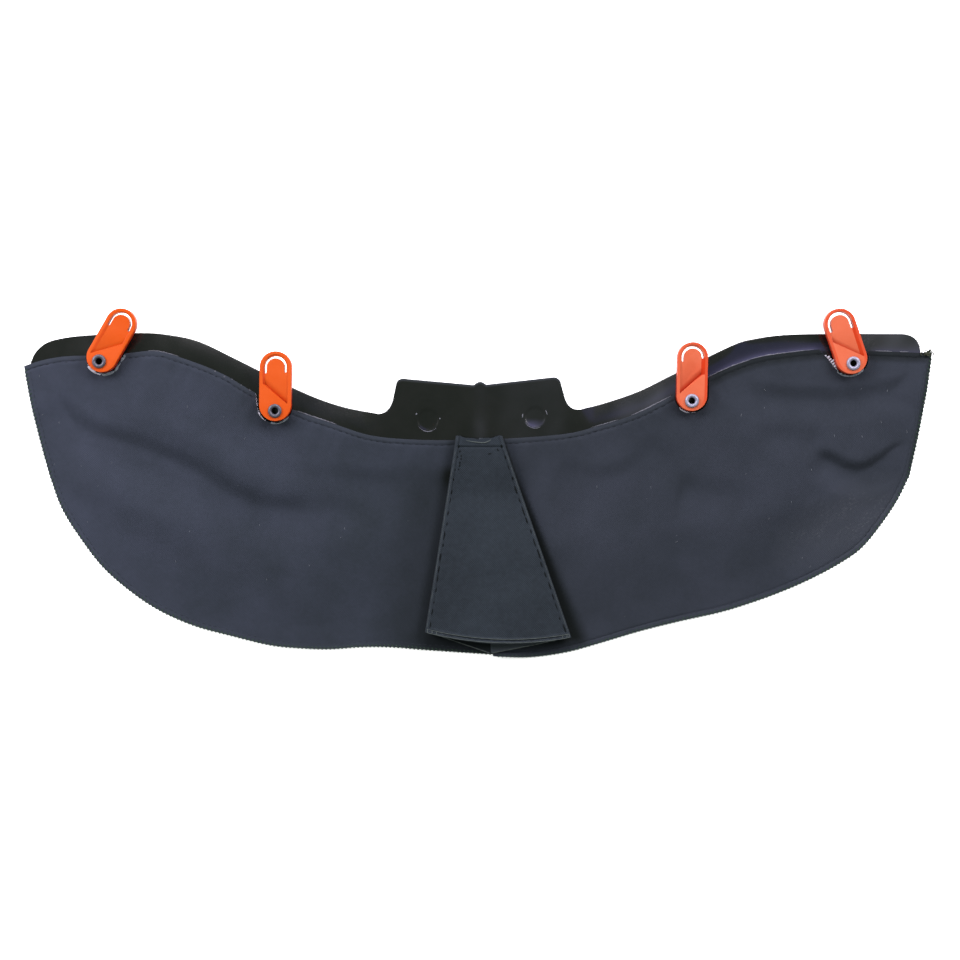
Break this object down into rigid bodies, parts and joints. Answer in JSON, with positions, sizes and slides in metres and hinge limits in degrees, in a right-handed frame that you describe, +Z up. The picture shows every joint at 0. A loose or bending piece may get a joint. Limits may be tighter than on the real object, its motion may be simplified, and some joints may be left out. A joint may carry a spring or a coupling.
{
  "type": "clip-on flash curtain",
  "caption": "Flame-resistant cloth curtain with a centre box pleat, sewn to a moulded collar strip whose swivel clips hook it to the lower rim of a face shield.",
  "frame": {"origin": "middle of the footprint, on the surface the curtain lies on", "axes": "+X along the collar strip to the picture's right, +Y from the hem towards the clips, +Z up out of the cloth's face"},
  "size_m": [0.4986, 0.1916, 0.0117],
  "materials": {
    "strip_plastic": "black thermoformed sheet, satin gloss",
    "cloth": "dark slate-blue flame-resistant twill",
    "clip_plastic": "moulded orange plastic, satin",
    "rivet_metal": "plain grey hollow rivet"
  },
  "bodies": {
    "curtain": {"collar_strip": "strip_plastic", "left_panel": "cloth", "right_panel": "cloth", "pleat": "cloth", "rivet_1": "rivet_metal", "rivet_2": "rivet_metal", "rivet_3": "rivet_metal", "rivet_4": "rivet_metal"},
    "swivel_1": {"clip_1": "clip_plastic"},
    "swivel_2": {"clip_2": "clip_plastic"},
    "swivel_3": {"clip_3": "clip_plastic"},
    "swivel_4": {"clip_4": "clip_plastic"}
  },
  "joints": [
    {"name": "clip_1_swivel", "type": "hinge", "parent": "curtain", "child": "swivel_1", "pos_m": [-0.2065, 0.06629, 0.0058], "axis": [0, 0, 1], "range_deg": [-8, 72]},
    {"name": "clip_2_swivel", "type": "hinge", "parent": "curtain", "child": "swivel_2", "pos_m": [-0.1107, 0.03929, 0.0057], "axis": [0, 0, 1], "range_deg": [-66, 14]},
    {"name": "clip_3_swivel", "type": "hinge", "parent": "curtain", "child": "swivel_3", "pos_m": [0.1166, 0.04479, 0.00553], "axis": [0, 0, 1], "range_deg": [-12, 68]},
    {"name": "clip_4_swivel", "type": "hinge", "parent": "curtain", "child": "swivel_4", "pos_m": [0.2046, 0.06519, 0.00576], "axis": [0, 0, 1], "range_deg": [-58, 22]}
  ]
}
